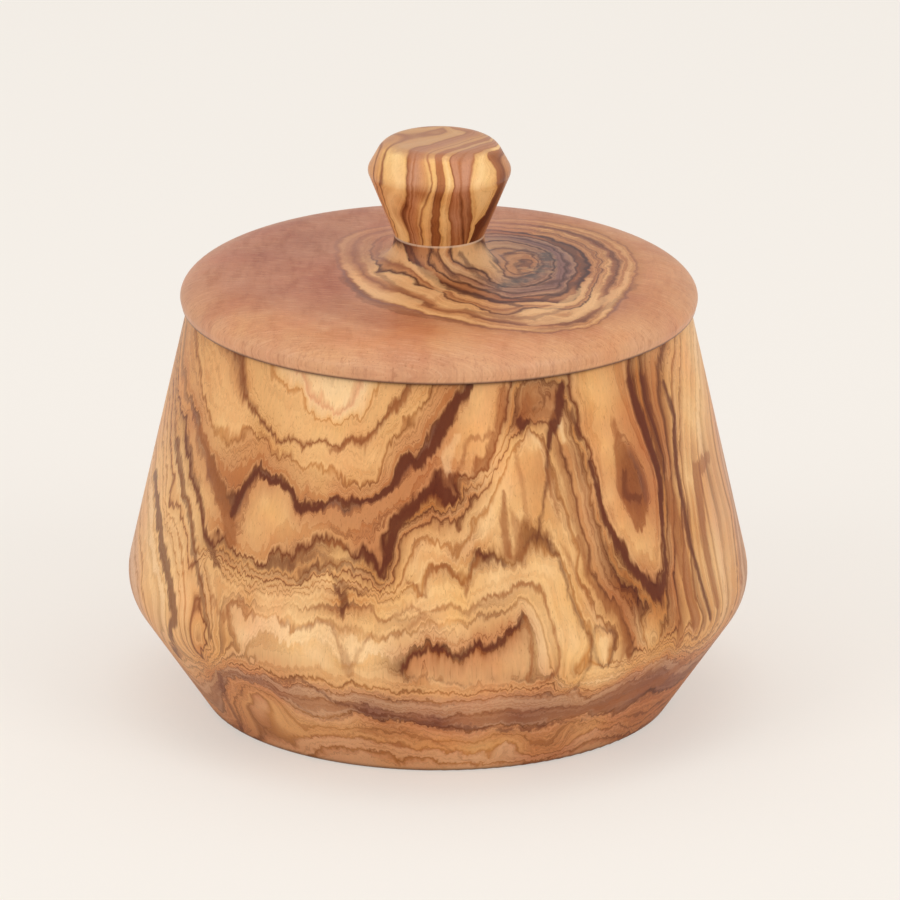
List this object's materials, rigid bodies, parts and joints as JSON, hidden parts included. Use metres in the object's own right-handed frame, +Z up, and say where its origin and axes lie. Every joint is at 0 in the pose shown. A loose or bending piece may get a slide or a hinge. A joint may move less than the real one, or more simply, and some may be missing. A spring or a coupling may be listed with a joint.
{
  "type": "spice jar",
  "caption": "Turned olive wood jar, a double cone with a rounded belt, and a lift-off lid with a spigot ring below and a flared knob on top.",
  "frame": {"origin": "middle of the foot ring, on the surface that the jar stands on", "axes": "+Z up the turning axis, towards the knob; the front of the picture looks along +Y"},
  "size_m": [0.1104, 0.1104, 0.1029],
  "materials": {
    "body_wood": "satin oiled",
    "lid_wood": "satin oiled",
    "knob_wood": "satin oiled"
  },
  "bodies": {
    "jar": {"jar_body": "body_wood"},
    "lid": {"lid": "lid_wood", "knob": "knob_wood"}
  },
  "joints": [
    {"name": "lid_lift", "type": "slide", "parent": "jar", "child": "lid", "axis": [0, 0, 1], "range_m": [0, 0.08]}
  ]
}
